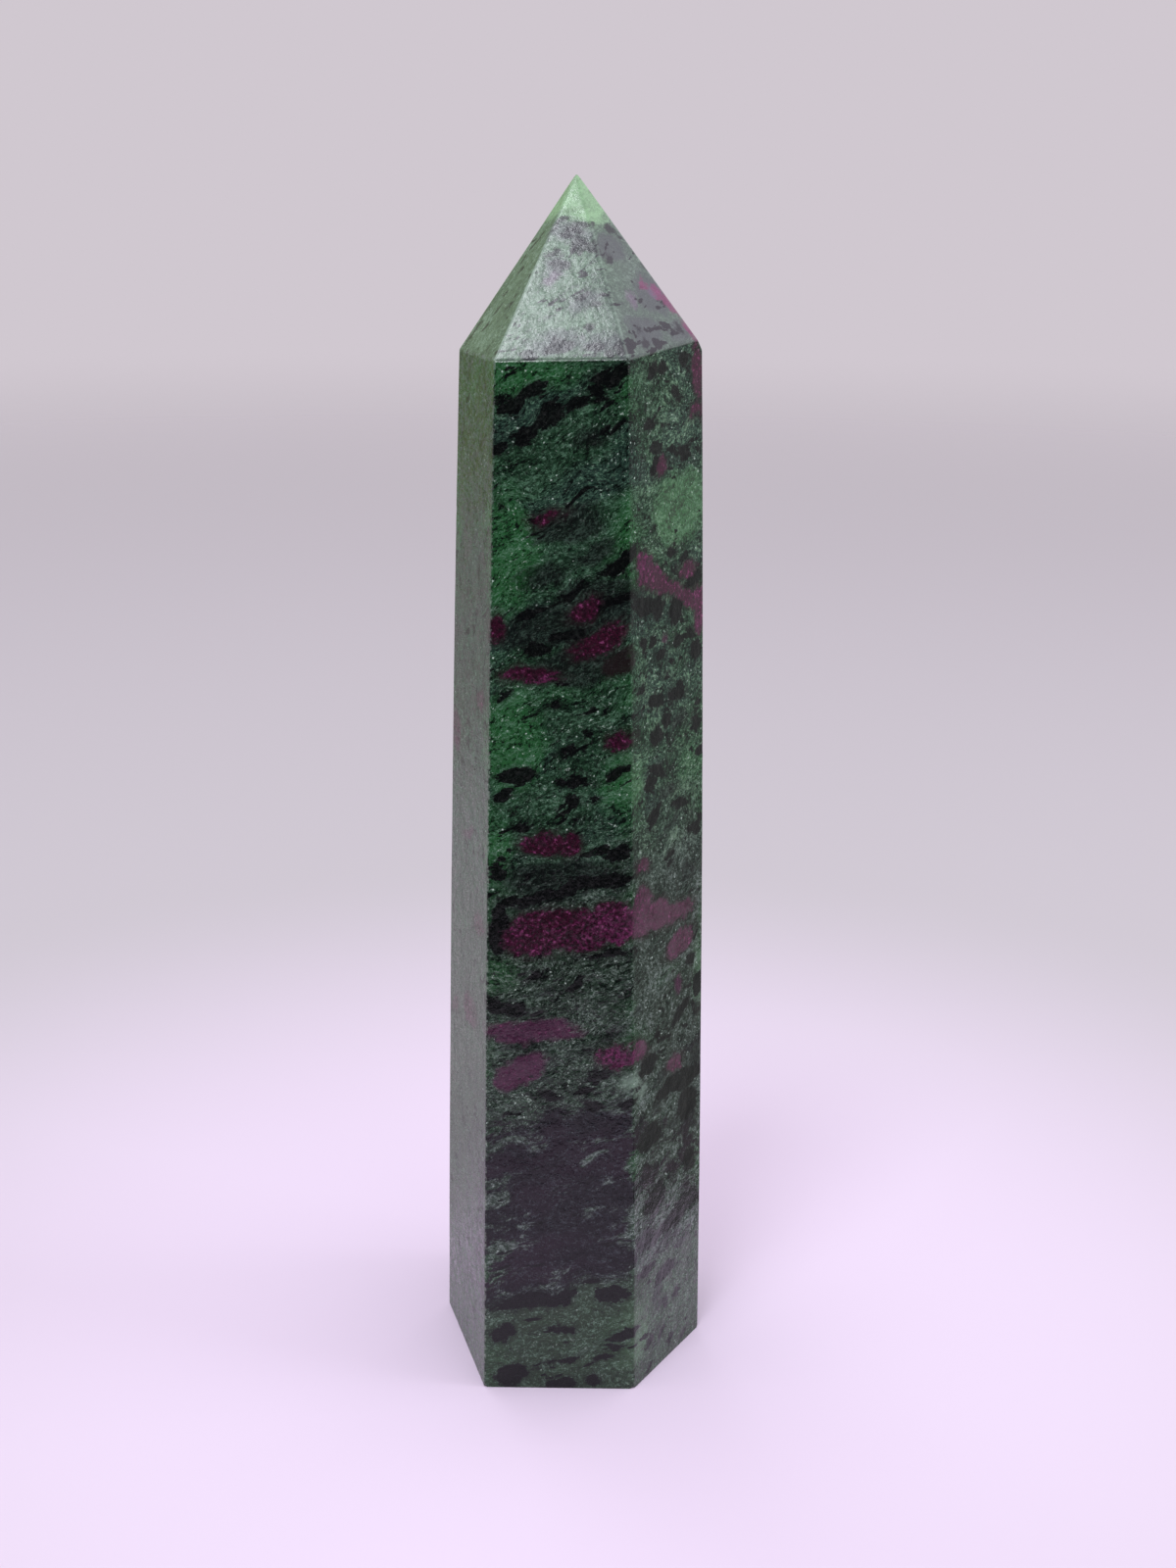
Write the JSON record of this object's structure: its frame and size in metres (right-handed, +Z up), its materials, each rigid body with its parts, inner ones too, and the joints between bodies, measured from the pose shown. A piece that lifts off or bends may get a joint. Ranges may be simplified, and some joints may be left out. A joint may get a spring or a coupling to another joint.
{
  "type": "ruby in zoisite tower",
  "caption": "Standing point of polished ruby in zoisite: a tapering hand-cut prism on a flat foot, with tilted facets that meet in one tip.",
  "frame": {"origin": "in the plane of the flat foot, on the upright axis that the sides are measured from", "axes": "+Z up the stone to its tip; the widest front side faces -Y, and +X is to the right of someone who faces it"},
  "size_m": [0.0364, 0.0346, 0.16],
  "materials": {
    "polished_ruby_in_zoisite": "polished green zoisite with crimson-purple ruby patches and black amphibole streaks, satin gloss"
  },
  "bodies": {
    "root": {"ruby_zoisite_tower": "polished_ruby_in_zoisite"}
  },
  "joints": []
}
